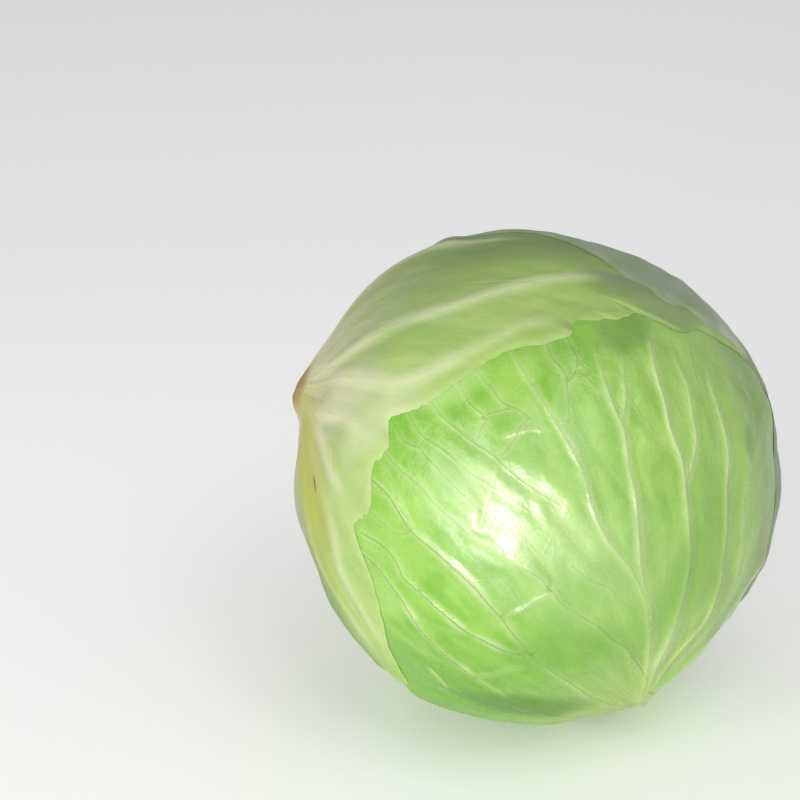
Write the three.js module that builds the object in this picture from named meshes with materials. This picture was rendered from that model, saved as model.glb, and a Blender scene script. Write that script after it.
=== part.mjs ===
// A white cabbage head, picked and trimmed: a dense heart, the cut stalk under it, and five
// wrapper leaves drawn over one another. Millimetres, +Z up. The origin is the centre of the
// small flat spot that the head rests on.
import * as THREE from 'three';

// ---- driving dimensions ----
const HEART_RADIUS = 87; // the dense head inside the wrapper leaves
const LEAF_RADIUS = 91; // the mean radius at which lengths along a leaf are measured
const REST_HEIGHT = 89; // from the resting spot up to the head's centre
const LEAF_THICKNESS = 0.8;
const LEAF_GAP = 0.5; // air between a leaf and what it lies on
const HEART_GAP = 0.8; // more air over the heart, which is coarser
const MARGIN_FALL = 20; // the distance over which a leaf sinks back past the margin under it
const MARGIN_LIFT = 1.1; // how far a bare margin stands off
const LIFT_DEPTH = 10; // how far in from the margin it bends up
const LIFTS = 7; // places round a leaf where the margin stands off most
const MARGIN_WAVE = 1.6; // how far the waves in a margin reach in and out
const MARGIN_WAVES = 19; // waves round one leaf
const STALK_RADIUS = 12.5;
const STALK_END = 94.5; // from the head's centre to the cut face
const STALK_CLEAR = 9.6; // degrees round the stalk that the leaves leave free
const RIB_HEIGHT = 2;
const RIB_WIDTH = 5.4; // half the breadth of a rib
const MIDRIB_HEIGHT = 3.4; // at the leaf's base
const MIDRIB_WIDTH = 8; // half the breadth of the midrib at the base
const RIB_CLEAR = 6; // ribs fade out this far before the leaf that covers them
const SPOT_SPREAD = 24; // degrees round the resting spot where the ribs are pressed away
const HEART_DETAIL = 6; // divisions along an edge of the heart's twenty faces
const STALK_SIDES = 28;
const RESTING_LEAF = 2; // the leaf that carries the head, counted from the innermost as 0

// The head leans, as it fell: the stalk points down, back and to the left. Leaves are placed by
// their angle from the stalk and their azimuth about it, counted from the second leaf's heel.
const STALK_AXIS = new THREE.Vector3(-0.45, 0.265, -0.853).normalize();
const SECOND_HEEL = new THREE.Vector3(-0.93, 0.022, 0.367).normalize();
const DOWN = new THREE.Vector3(0, 0, -1);
const MARGIN_STEPS = 720;

const rad = THREE.MathUtils.degToRad;
const AZIMUTH_X = SECOND_HEEL.clone().projectOnPlane(STALK_AXIS).normalize();
const AZIMUTH_Y = new THREE.Vector3().crossVectors(AZIMUTH_X, STALK_AXIS);

// Broad swells of the whole head: [degrees from the stalk, azimuth, height, breadth in degrees].
const SWELLS = [
  [88, 357, 2.8, 7],
  [70, 135, 0.5, 7],
  [112, 346, 4.4, 19],
  [138, 322, 1.8, 15],
  [152, 298, -1.8, 13],
  [54, 88, 1.6, 22],
  [61, 110, 1.6, 14],
  [98, 153, -1.8, 10],
  [89, 146, 1.2, 6],
  [136, 184, 1.3, 9],
];

// The ribs of a leaf that grew evenly: its midrib, and three ribs to each side.
const PAIRED_RIBS = [
  [[0, -120], [0, -60], [2, 0], [0, 60], [-2, 116]],
  [[0, -80], [-30, -50], [-66, -22], [-104, -8]],
  [[0, -50], [-28, -16], [-58, 16], [-88, 44]],
  [[0, -20], [-22, 14], [-42, 48], [-56, 74]],
  [[0, -80], [30, -50], [66, -22], [104, -8]],
  [[0, -50], [28, -16], [58, 16], [88, 44]],
  [[0, -20], [22, 14], [42, 48], [54, 80]],
];

// The leaves, innermost first. Centre: [degrees from the stalk, azimuth]. The outline gives the
// reach in mm from that centre towards each bearing, where 0 is away from the stalk and
// bearings grow with azimuth. Ribs are points [across, along] in mm from the centre.
const LEAVES = [
  {
    name: 'wrapper_leaf_5',
    centre: [90, 95],
    rings: 12,
    colour: 0xb9d67c,
    outline: [[-180, 134], [-120, 128], [-60, 124], [0, 118], [60, 126], [120, 130]],
    ribs: PAIRED_RIBS,
  },
  {
    name: 'wrapper_leaf_4',
    centre: [95, 276],
    rings: 12,
    colour: 0xaccf70,
    outline: [[-180, 142], [-120, 126], [-60, 120], [0, 126], [60, 122], [120, 128]],
    ribs: PAIRED_RIBS,
  },
  {
    name: 'wrapper_leaf_3',
    centre: [92, 120],
    rings: 20,
    colour: 0x9fce66,
    outline: [
      [-175, 128], [-165, 112], [-152, 98], [-140, 90], [-124, 104], [-101, 124], [-80, 140],
      [-59, 152], [-38, 158], [-15, 156], [0, 147], [19, 148], [34, 134], [47, 104], [58, 72],
      [72, 42], [88, 30], [104, 28], [122, 34], [139, 47], [146, 84], [153, 110], [163, 122],
    ],
    ribs: [
      [[30, -34], [10, -4], [5, 20], [4, 41], [-4, 75], [-13, 102], [-13, 130]],
      [[30, -34], [14, -13], [0, 10], [-17, 35], [-36, 56], [-56, 79], [-77, 101]],
      [[28, -30], [6, 4], [-3, 20], [-18, 50], [-31, 83], [-41, 117]],
      [[30, -34], [11, 0], [11, 15], [17, 29], [20, 51], [18, 85], [11, 116]],
      [[28, -28], [18, 0], [22, 25], [29, 44], [34, 61]],
      [[14, -13], [-10, 14], [-31, 23], [-55, 32], [-76, 34]],
      [[26, -32], [5, -18], [-15, -10], [-33, -4], [-59, 12], [-84, 21], [-115, 24]],
      [[-33, -4], [-55, -2], [-87, 3], [-107, 3]],
      [[-6, -36], [-27, -29], [-54, -19], [-78, -13], [-100, -3]],
    ],
  },
  {
    name: 'wrapper_leaf_2',
    centre: [105, 0],
    rings: 16,
    colour: 0xb5cf8e,
    outline: [
      [-180, 152], [-150, 140], [-120, 124], [-95, 114], [-75, 103], [-52, 96], [-35, 108],
      [-15, 150], [-3, 146], [6, 124], [13, 106], [27, 88], [42, 72], [52, 69], [62, 61],
      [75, 60], [88, 70], [100, 78], [107, 103], [120, 130], [135, 149], [155, 144],
    ],
    ribs: [
      [[0, -34], [12, -8], [17, 21], [15, 54], [-1, 90], [-12, 112]],
      [[2, -34], [28, 4], [43, 26], [42, 49], [31, 73], [24, 92]],
      [[2, -34], [26, -20], [45, 0], [64, 5]],
      [[2, -36], [34, -20], [66, -16], [76, -15]],
      [[2, -38], [37, -24], [53, -42], [77, -51]],
      [[20, -24], [52, -30], [80, -38], [108, -51]],
      [[-2, -34], [-18, 4], [-26, 40], [-34, 74]],
      [[-2, -36], [-34, -16], [-58, 12], [-72, 36]],
      [[-4, -40], [-40, -36], [-76, -22], [-98, -8]],
    ],
  },
  {
    name: 'wrapper_leaf_1',
    centre: [100, 250],
    rings: 15,
    colour: 0x8fa878,
    outline: [
      [-180, 148], [-150, 133], [-122, 131], [-101, 138], [-76, 142], [-60, 128], [-45, 113],
      [-34, 100], [-20, 104], [-8, 117], [2, 138], [12, 133], [21, 122], [32, 106], [45, 112],
      [60, 124], [90, 134], [120, 133], [150, 134],
    ],
    ribs: PAIRED_RIBS,
  },
];

// ---- small helpers ----
function smoothStep(x) {
  const t = THREE.MathUtils.clamp(x, 0, 1);
  return t * t * (3 - 2 * t);
}

function bell(distance, breadth) {
  return Math.exp(-((distance / breadth) ** 2));
}

function direction(fromStalk, azimuth) {
  const polar = rad(fromStalk);
  const turn = rad(azimuth);
  return new THREE.Vector3()
    .addScaledVector(STALK_AXIS, Math.cos(polar))
    .addScaledVector(AZIMUTH_X, Math.sin(polar) * Math.cos(turn))
    .addScaledVector(AZIMUTH_Y, Math.sin(polar) * Math.sin(turn));
}

// ---- a leaf's own plane, wrapped round the head ----
function prepare(leaf) {
  const [fromStalk, azimuth] = leaf.centre;
  leaf.middle = direction(fromStalk, azimuth);
  leaf.along = direction(fromStalk + 90, azimuth);
  leaf.across = direction(90, azimuth + 90);
  leaf.outline.sort((a, b) => a[0] - b[0]);
  leaf.veins = leaf.ribs.map((points) => smoothLine(points));
  leaf.midrib = smoothLine([[0, -rad(fromStalk) * LEAF_RADIUS], ...leaf.ribs[0]]);
  leaf.margin = marginLengths(leaf);
}

// The length of margin passed by each of many equal steps of bearing, once round the leaf.
function marginLengths(leaf) {
  const lengths = [0];
  for (let k = 1; k <= MARGIN_STEPS; k += 1) {
    const from = onHead(leaf, marginBearing(k - 1), outlineReach(leaf, marginBearing(k - 1)));
    const to = onHead(leaf, marginBearing(k), outlineReach(leaf, marginBearing(k)));
    lengths.push(lengths[k - 1] + from.angleTo(to));
  }
  return lengths;
}

function marginBearing(step) {
  return (2 * Math.PI * step) / MARGIN_STEPS;
}

// The bearing at which a share of the margin has been passed, so that net points are even.
function bearingAt(leaf, share) {
  const wanted = share * leaf.margin[MARGIN_STEPS];
  let k = 1;
  while (leaf.margin[k] < wanted && k < MARGIN_STEPS) k += 1;
  const part = (wanted - leaf.margin[k - 1]) / (leaf.margin[k] - leaf.margin[k - 1]);
  return marginBearing(k - 1 + part);
}

function smoothLine(points) {
  const curve = new THREE.CatmullRomCurve3(points.map(([x, y]) => new THREE.Vector3(x, y, 0)));
  return curve.getPoints(6 * points.length).map((p) => [p.x, p.y]);
}

function onHead(leaf, bearing, reach) {
  const angle = reach / LEAF_RADIUS;
  return leaf.middle.clone().multiplyScalar(Math.cos(angle))
    .addScaledVector(leaf.along, Math.sin(angle) * Math.cos(bearing))
    .addScaledVector(leaf.across, Math.sin(angle) * Math.sin(bearing));
}

function inLeaf(leaf, dir) {
  const reach = LEAF_RADIUS * dir.angleTo(leaf.middle);
  const bearing = Math.atan2(dir.dot(leaf.across), dir.dot(leaf.along));
  return { reach, bearing, x: reach * Math.sin(bearing), y: reach * Math.cos(bearing) };
}

// The reach of the outline towards a bearing: a smooth curve through the outline's points,
// waved, and cut short where it would run into the stalk.
function outlineReach(leaf, bearing) {
  const points = leaf.outline;
  const n = points.length;
  const degrees = THREE.MathUtils.euclideanModulo(THREE.MathUtils.radToDeg(bearing) + 180, 360) - 180;
  let k = n - 1;
  while (k > 0 && points[k][0] > degrees) k -= 1;
  const at = (i) => {
    const [angle, reach] = points[(i + n) % n];
    return [angle + 360 * Math.floor(i / n), reach];
  };
  const [x0, y0] = at(k);
  const [x1, y1] = at(k + 1);
  const slope = (i) => (at(i + 1)[1] - at(i - 1)[1]) / (at(i + 1)[0] - at(i - 1)[0]);
  const span = x1 - x0;
  const t = (degrees - x0) / span;
  const reach = y0 * (1 + 2 * t) * (1 - t) ** 2 + slope(k) * span * t * (1 - t) ** 2
    + y1 * t * t * (3 - 2 * t) + slope(k + 1) * span * t * t * (t - 1);
  const waved = reach + MARGIN_WAVE * Math.sin(MARGIN_WAVES * bearing + leaf.centre[1]);
  return Math.min(waved, stalkReach(leaf, bearing));
}

function stalkReach(leaf, bearing) {
  const polar = rad(leaf.centre[0]);
  const c = Math.cos(polar);
  const s = -Math.sin(polar) * Math.cos(bearing);
  const ratio = Math.cos(rad(STALK_CLEAR)) / Math.hypot(c, s);
  return s > 0 && ratio < 1 ? LEAF_RADIUS * (Math.atan2(s, c) - Math.acos(ratio)) : Infinity;
}

// How far inside the outline a direction lies, in mm; negative past the margin.
function insideBy(leaf, dir) {
  const STEP = 0.01;
  const { reach, bearing } = inLeaf(leaf, dir);
  const edge = outlineReach(leaf, bearing);
  const slope = (outlineReach(leaf, bearing + STEP) - outlineReach(leaf, bearing - STEP)) / (2 * STEP);
  return (edge - reach) / Math.hypot(1, slope / Math.max(edge, 1));
}

function cover(leaf, dir) {
  return smoothStep(1 + insideBy(leaf, dir) / MARGIN_FALL);
}

// ---- heights over the head's centre ----
function heartRadius(dir) {
  let radius = HEART_RADIUS;
  for (const [fromStalk, azimuth, height, breadth] of SWELLS) {
    radius += height * bell(dir.angleTo(direction(fromStalk, azimuth)), rad(breadth));
  }
  return radius;
}

function floorUnder(index, dir) {
  let radius = heartRadius(dir);
  for (let k = 0; k < index; k += 1) {
    radius += (LEAF_THICKNESS + LEAF_GAP) * cover(LEAVES[k], dir);
  }
  return radius;
}

function bareness(index, dir) {
  let bare = 1;
  for (let k = index + 1; k < LEAVES.length; k += 1) {
    bare *= 1 - smoothStep(1 + (RIB_CLEAR + insideBy(LEAVES[k], dir)) / MARGIN_FALL);
  }
  return bare;
}

function distanceToLine(line, x, y) {
  let best = Infinity;
  let share = 0;
  for (let i = 0; i + 1 < line.length; i += 1) {
    const [ax, ay] = line[i];
    const [bx, by] = line[i + 1];
    const length2 = Math.max((bx - ax) ** 2 + (by - ay) ** 2, 1e-9);
    const t = THREE.MathUtils.clamp(((x - ax) * (bx - ax) + (y - ay) * (by - ay)) / length2, 0, 1);
    const distance = Math.hypot(x - ax - t * (bx - ax), y - ay - t * (by - ay));
    if (distance < best) {
      best = distance;
      share = (i + t) / (line.length - 1);
    }
  }
  return [best, share];
}

function ribRelief(leaf, x, y) {
  let relief = 0;
  for (const vein of leaf.veins) {
    const [distance, share] = distanceToLine(vein, x, y);
    relief = Math.max(relief, RIB_HEIGHT * (1 - 0.5 * share) * bell(distance, RIB_WIDTH));
  }
  const [distance, share] = distanceToLine(leaf.midrib, x, y);
  const taper = 1 - share;
  return relief + MIDRIB_HEIGHT * taper ** 2 * bell(distance, MIDRIB_WIDTH * (0.3 + 0.7 * taper));
}

function innerRadius(index, dir) {
  const wave = 0.5 + 0.5 * Math.sin(LIFTS * inLeaf(LEAVES[index], dir).bearing);
  const nearMargin = bell(Math.max(insideBy(LEAVES[index], dir), 0), LIFT_DEPTH);
  const lift = MARGIN_LIFT * wave * nearMargin * bareness(index, dir);
  return floorUnder(index, dir) + LEAF_GAP + lift;
}

function outerRadius(index, dir) {
  const leaf = LEAVES[index];
  const { x, y } = inLeaf(leaf, dir);
  const offSpot = 1 - bell(dir.angleTo(DOWN), rad(SPOT_SPREAD));
  const relief = ribRelief(leaf, x, y) * bareness(index, dir) * offSpot;
  return innerRadius(index, dir) + LEAF_THICKNESS + relief;
}

// The outside of the leaf that carries the head is pressed flat, and all that lies over or
// under it there moves in by as much.
function pressedIn(dir) {
  const down = dir.dot(DOWN);
  if (down < Math.cos(rad(SPOT_SPREAD))) return 0;
  return Math.max(0, outerRadius(RESTING_LEAF, dir) - REST_HEIGHT / down);
}

function place(dir, radius) {
  return dir.clone().multiplyScalar(radius - pressedIn(dir)).add(new THREE.Vector3(0, 0, REST_HEIGHT));
}

// ---- the pieces ----
function material(colour, roughness) {
  return new THREE.MeshStandardMaterial({ color: colour, roughness, metalness: 0 });
}

function makeHeart() {
  const shape = new THREE.IcosahedronGeometry(1, HEART_DETAIL);
  const at = shape.getAttribute('position');
  const dir = new THREE.Vector3();
  for (let i = 0; i < at.count; i += 1) {
    dir.fromBufferAttribute(at, i).normalize();
    const point = place(dir, heartRadius(dir) - HEART_GAP);
    at.setXYZ(i, point.x, point.y, point.z);
  }
  const heart = new THREE.Mesh(shape, material(0xdfe8b8, 0.6));
  heart.name = 'heart';
  return heart;
}

function makeStalk() {
  const inner = heartRadius(STALK_AXIS) + LEAF_GAP;
  const profile = [
    [0, inner], [STALK_RADIUS - 1, inner], [STALK_RADIUS, inner + 1],
    [STALK_RADIUS + 0.6, STALK_END - 1.2], [STALK_RADIUS - 0.6, STALK_END], [0, STALK_END + 0.4],
  ].map(([x, y]) => new THREE.Vector2(x, y));
  const stalk = new THREE.Mesh(new THREE.LatheGeometry(profile, STALK_SIDES), material(0xd8d3a4, 0.8));
  stalk.quaternion.setFromUnitVectors(new THREE.Vector3(0, 1, 0), STALK_AXIS);
  stalk.position.z = REST_HEIGHT;
  stalk.name = 'stalk';
  return stalk;
}

// Directions of a hexagonal net drawn out to the leaf's outline: ring i has 6 i points.
function leafNet(leaf) {
  const net = [leaf.middle.clone()];
  for (let ring = 1; ring <= leaf.rings; ring += 1) {
    for (let k = 0; k < 6 * ring; k += 1) {
      const bearing = bearingAt(leaf, k / (6 * ring));
      net.push(onHead(leaf, bearing, (outlineReach(leaf, bearing) * ring) / leaf.rings));
    }
  }
  return net;
}

function netTriangles(rings) {
  const first = (ring) => (ring === 0 ? 0 : 1 + 3 * ring * (ring - 1));
  const triangles = [];
  for (let ring = 1; ring <= rings; ring += 1) {
    const around = 6 * ring;
    const inside = Math.max(6 * (ring - 1), 1);
    for (let side = 0; side < 6; side += 1) {
      for (let k = 0; k < ring; k += 1) {
        const outer = first(ring) + side * ring + k;
        const next = first(ring) + ((side * ring + k + 1) % around);
        const inner = first(ring - 1) + ((side * (ring - 1) + k) % inside);
        triangles.push([inner, outer, next]);
        if (k < ring - 1) {
          triangles.push([inner, next, first(ring - 1) + ((side * (ring - 1) + k + 1) % inside)]);
        }
      }
    }
  }
  return triangles;
}

function makeLeaf(leaf, index) {
  const net = leafNet(leaf);
  const outside = net.map((dir) => place(dir, outerRadius(index, dir)));
  const inside = net.map((dir) => place(dir, innerRadius(index, dir)));
  const faces = netTriangles(leaf.rings);
  const count = net.length;
  const indices = faces.flatMap(([a, b, c]) => [a, c, b, a + count, b + count, c + count]);
  const rim = 6 * leaf.rings;
  const start = count - rim;
  for (let k = 0; k < rim; k += 1) {
    const a = start + k;
    const b = start + ((k + 1) % rim);
    indices.push(a, b, b + count, a, b + count, a + count);
  }
  const shape = new THREE.BufferGeometry().setFromPoints([...outside, ...inside]);
  shape.setIndex(indices);
  const mesh = new THREE.Mesh(shape, material(leaf.colour, index === RESTING_LEAF ? 0.3 : 0.55));
  mesh.name = leaf.name;
  return mesh;
}

LEAVES.forEach(prepare);
const cabbage = new THREE.Group();
cabbage.add(makeHeart(), makeStalk(), ...LEAVES.map(makeLeaf));

export default cabbage;
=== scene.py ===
"""The looks of a white cabbage head that lies on its side: its wrapper leaves as thin draped shells with
raised ribs and fine veins, the cut stalk, and their finishes. Shapes are worked out in millimetres and
turned into metres as they become meshes. Directions are counted from the head's centre."""

import math

import bmesh
import bpy
import numpy as np
from mathutils import Matrix, Vector


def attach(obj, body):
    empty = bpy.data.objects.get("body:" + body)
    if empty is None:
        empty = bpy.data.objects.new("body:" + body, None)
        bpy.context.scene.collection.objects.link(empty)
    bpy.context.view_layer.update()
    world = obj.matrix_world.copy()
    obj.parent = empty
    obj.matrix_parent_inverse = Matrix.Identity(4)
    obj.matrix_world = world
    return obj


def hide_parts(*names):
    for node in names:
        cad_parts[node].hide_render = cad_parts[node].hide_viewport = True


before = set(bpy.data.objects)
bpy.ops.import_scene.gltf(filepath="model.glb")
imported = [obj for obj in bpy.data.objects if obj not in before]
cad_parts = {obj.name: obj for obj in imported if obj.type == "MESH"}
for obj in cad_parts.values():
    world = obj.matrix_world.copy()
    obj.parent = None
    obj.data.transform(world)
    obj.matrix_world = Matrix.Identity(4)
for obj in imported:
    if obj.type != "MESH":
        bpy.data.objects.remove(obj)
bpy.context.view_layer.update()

# ---- sizes, in millimetres ----
MM = 0.001
HEART_RADIUS = 88
HEART_SPLITS = 6  # times that each face of its ball is split
LEAF_RADIUS = 91  # the mean radius at which lengths along a leaf are measured
REST_HEIGHT = 89  # from the resting spot up to the head's centre
LEAF_THICKNESS = 0.8
RIM_THICKNESS = 0.1  # a leaf thins out to this at its margin
RIM_BREADTH = 2  # and it does so over this
LEAF_GAP = 0.12
RIM_GAP = 0.04  # a margin lies this close on the leaf under it
MARGIN_FALL = 12  # the distance over which a leaf sinks back past the margin under it
CLOSE_FALL = 1.2  # the same at its own margin, which follows the leaves under it more closely
TUCK = 2  # a covered leaf counts in full only this far in from its margin, because it thins out there
LIFT_DEPTH = 9  # how far in from the margin it bends up where it stands off
LIFTS = 7  # places round a leaf where the margin stands off most
MARGIN_CALM = 2.5  # ribs and puckers fade out this close to a margin
MARGIN_STEPS = 1440  # parts in which a margin's length is measured
MARGIN_WAVE = 1.6  # how far the waves in a margin reach in and out
MARGIN_WAVES = 19  # waves round one leaf
SCALLOP = 0.5  # how far the small scallops of a ragged margin reach in and out
SCALLOPS = 31  # pairs of them round one leaf
RAGGED_REACH = 90  # waves and scallops shrink where the margin is nearer to the leaf's centre than this
NICK = 1.0  # how far the fine teeth of a margin cut in
NICK_POWER = 40  # the higher it is, the fewer rings of a leaf's net follow the teeth
TEETH = 52  # pairs of teeth round one leaf
LUMP_HEIGHT = 0.6  # the head's soft unevenness
LUMP_WAVES = 14  # waves that it is made of
LUMP_PACE = (9, 20)  # radians that a wave passes over the length of the head's radius
STALK_RADIUS = 12.5
STALK_END = 94.5  # from the head's centre to the cut face
STALK_CLEAR = 8.1  # degrees round the stalk that the leaves leave free
MIDRIB_HEIGHT = 3.2  # at the leaf's base
MIDRIB_WIDTH = 8  # half the breadth of the midrib at the base
MIDRIB_START = 12  # from the stalk's axis
MIDRIB_FALL = 2.2  # the higher it is, the sooner the midrib flattens
RIB_CLEAR = 6  # ribs fade out this far before the leaf that covers them
RIB_FADE = 22  # a rib fades out over this at its tip
RIB_TAPER = 0.5  # the share of its height that a rib loses on the way to its tip
RIB_THINNING = 0.4  # the same for its breadth and for how strongly it shows
PEAK_RISE = 0.4  # the share that a rib gains in height on a peak
PEAK_SHOW = 0.5  # the share by which it shows more strongly there
SPOT_SPREAD = 24  # degrees round the resting spot where the ribs are pressed away
RESTING_LEAF = 2  # the leaf that carries the head, counted from the innermost as 0
FOLD_HEIGHT = 0.7  # a rib that shows as a soft ridge with an olive line
FOLD_WIDTH = 2.2
FOLD_SHOW = (0.2, 0.6)  # how strongly it shows, and what it gains on a peak
CREASE_HEIGHT = 0.4
CREASE_WIDTH = 1.0
CREASE_SHOW = 0.8
RIB_APART = 2.5  # a fold starts this far from a rib
LINE_FADE = 5  # folds and creases fade in and out over this
FAR_BEYOND = 60  # the distance from what covers a leaf is counted up to this
FLOOR_GAP = 0.02  # between the floor and what lies on it
PILLOW = 0.3  # how far the leaf bulges between two fine veins
PILLOW_WIDTH = 3.4
FAN_TURNS = 9  # how finely the puckers divide a turn about the leaf's heel
FAN_LENGTH = 26  # how long they are
HEEL_CALM = 16  # they fade this close to the heel
RIM_ANGLE = 50  # faces that meet at more than this are shaded apart
VEIN_STEP = 1.4  # between two points of a fine vein
VEIN_SPACING = 16  # between the starts of two fine veins
VEIN_LEAVE = (32, 46)  # degrees at which a fine vein leaves its rib
VEIN_BEND = 1.2  # degrees that it bends towards the tip at each step
VEIN_WANDER = 1.3  # degrees that it strays at each step
VEIN_LONGEST = 44
VEIN_SHORTEST = 4  # steps
VEIN_SHOW = (1.0, 0.7, 0.35)  # how strongly the line of a fold, a given vein and a grown vein show
SEED = 7


def unit(*parts):
    return np.array(parts) / np.linalg.norm(parts)


STALK_AXIS = unit(-0.45, 0.265, -0.853)
SECOND_HEEL = unit(-0.93, 0.022, 0.367)  # towards the heel of the big left leaf
DOWN = np.array([0.0, 0.0, -1.0])
across_stalk = SECOND_HEEL - STALK_AXIS * (SECOND_HEEL @ STALK_AXIS)
AZIMUTH_X = across_stalk / np.linalg.norm(across_stalk)
AZIMUTH_Y = np.cross(AZIMUTH_X, STALK_AXIS)

# Broad swells of the whole head: (degrees from the stalk, azimuth, height, breadth in degrees).
SWELLS = [
    (88, 357, 2.8, 7), (70, 135, 0.5, 7), (112, 346, 4.4, 19), (138, 322, 1.8, 15), (152, 298, -1.8, 13),
    (54, 88, 1.6, 22), (61, 110, 1.6, 14), (98, 153, -1.8, 10), (89, 146, 1.2, 6), (136, 184, 1.3, 9),
    (51, 82, 2.4, 8), (76, 133, 1.8, 10), (92, 147, 1.8, 8), (108, 158, 1.4, 9), (122, 342, 1.8, 9),
    (86, 3, 2.6, 4.5), (83, 138, 1.8, 5), (91, 149, -1.2, 4), (48, 76, -1.4, 4), (128, 337, 1.8, 5),
    (89, 8, 1.8, 5), (140, 186, 1.5, 6), (111, 160, 1.6, 5), (64, 117, 1.2, 6), (119, 166, 1.0, 6),
    (137, 201, 1.9, 8), (120, 180, 1.5, 8), (123, 328, 1.5, 4), (81, 2, 3.0, 3.5), (55, 32, -4.4, 6.5),
    (71, 11, -1.0, 3), (73, 142, 2.2, 4), (94, 159, 1.0, 4), (44, 72, 0.8, 4), (107, 168, -1.0, 4),
    (129, 189, 0.8, 4),
]

# The ribs of a leaf that grew evenly: its midrib, and three ribs to each side.
PAIRED_RIBS = [
    [(0, -120), (0, -60), (2, 0), (0, 60), (-2, 116)],
    [(0, -80), (-30, -50), (-66, -22), (-104, -8)],
    [(0, -50), (-28, -16), (-58, 16), (-88, 44)],
    [(0, -20), (-22, 14), (-42, 48), (-56, 74)],
    [(0, -80), (30, -50), (66, -22), (104, -8)],
    [(0, -50), (28, -16), (58, 16), (88, 44)],
    [(0, -20), (22, 14), (42, 48), (54, 80)],
]

# What a leaf has where its own facts say nothing else. Lines are points (across, along) in mm from the
# leaf's centre, from the heel outwards.
PLAIN_LEAF = {
    "heel": (0, -84),
    "rings": 84,  # how fine the net is
    "lift": 0.3,  # how far the margin stands off
    "ragged": 1.0,  # how much of the waves and scallops the margin has
    "rib": (1.0, 2.4),  # height and half the breadth
    "ribs": PAIRED_RIBS,
    "rib_sizes": [1] * len(PAIRED_RIBS),
    "folds": [],
    "veins": [],
    "creases": [],
    "peaks": [],  # where ribs and folds stand higher: (across, along, how far round it)
    "pucker": 0.6,  # height
}

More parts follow.
